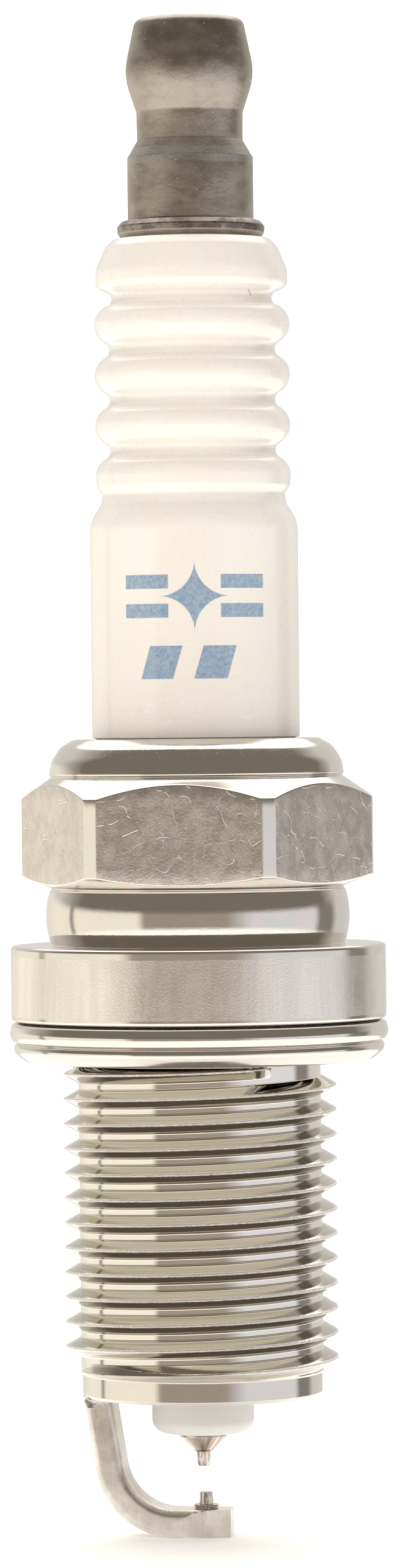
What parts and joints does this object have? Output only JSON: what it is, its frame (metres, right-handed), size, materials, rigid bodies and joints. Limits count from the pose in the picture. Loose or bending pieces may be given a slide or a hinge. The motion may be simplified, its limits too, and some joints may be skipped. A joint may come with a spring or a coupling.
{
  "type": "spark plug",
  "caption": "Resistor spark plug with a ribbed ceramic insulator, hex steel shell, folded crush gasket and a fine pin on each electrode.",
  "frame": {"origin": "on the plug's axis, at the sealing face of the shell's flange ring", "axes": "+Z along the axis towards the terminal, -Z towards the electrodes; the ground electrode stands near -X"},
  "size_m": [0.0192, 0.0192, 0.0768],
  "materials": {
    "plated_steel": "bright nickel plate, satin on the turned faces",
    "gasket_steel": "bright plated sheet steel",
    "glazed_ceramic": "glossy clear glaze on white alumina, bare and matte at the nose",
    "terminal_steel": "dull plated steel, handled",
    "nickel_alloy": "drawn nickel alloy, slightly rough",
    "precious_alloy": "bright drawn wire",
    "copper": "plain copper",
    "seal_glass": "fused copper-filled glass",
    "resistor_mix": "fused carbon and glass",
    "packing_steel": "soft plain steel",
    "talc": "pressed powder"
  },
  "bodies": {
    "root": {"metal_shell": "plated_steel", "insulator": "glazed_ceramic", "terminal_stud": "terminal_steel", "ground_electrode": "nickel_alloy", "ground_tip_base": "precious_alloy", "ground_tip": "precious_alloy", "centre_electrode": "nickel_alloy", "centre_electrode_core": "copper", "centre_tip": "precious_alloy", "front_glass_seal": "seal_glass", "resistor": "resistor_mix", "rear_glass_seal": "seal_glass", "upper_packing_ring": "packing_steel", "talc_fill": "talc", "lower_packing_ring": "packing_steel", "seat_washer": "packing_steel"},
    "gasket": {"gasket": "gasket_steel"}
  },
  "joints": [
    {"name": "gasket_spin", "type": "hinge", "parent": "root", "child": "gasket", "pos_m": [0, 0, -0.00108], "axis": [0, 0, 1], "continuous": true}
  ]
}
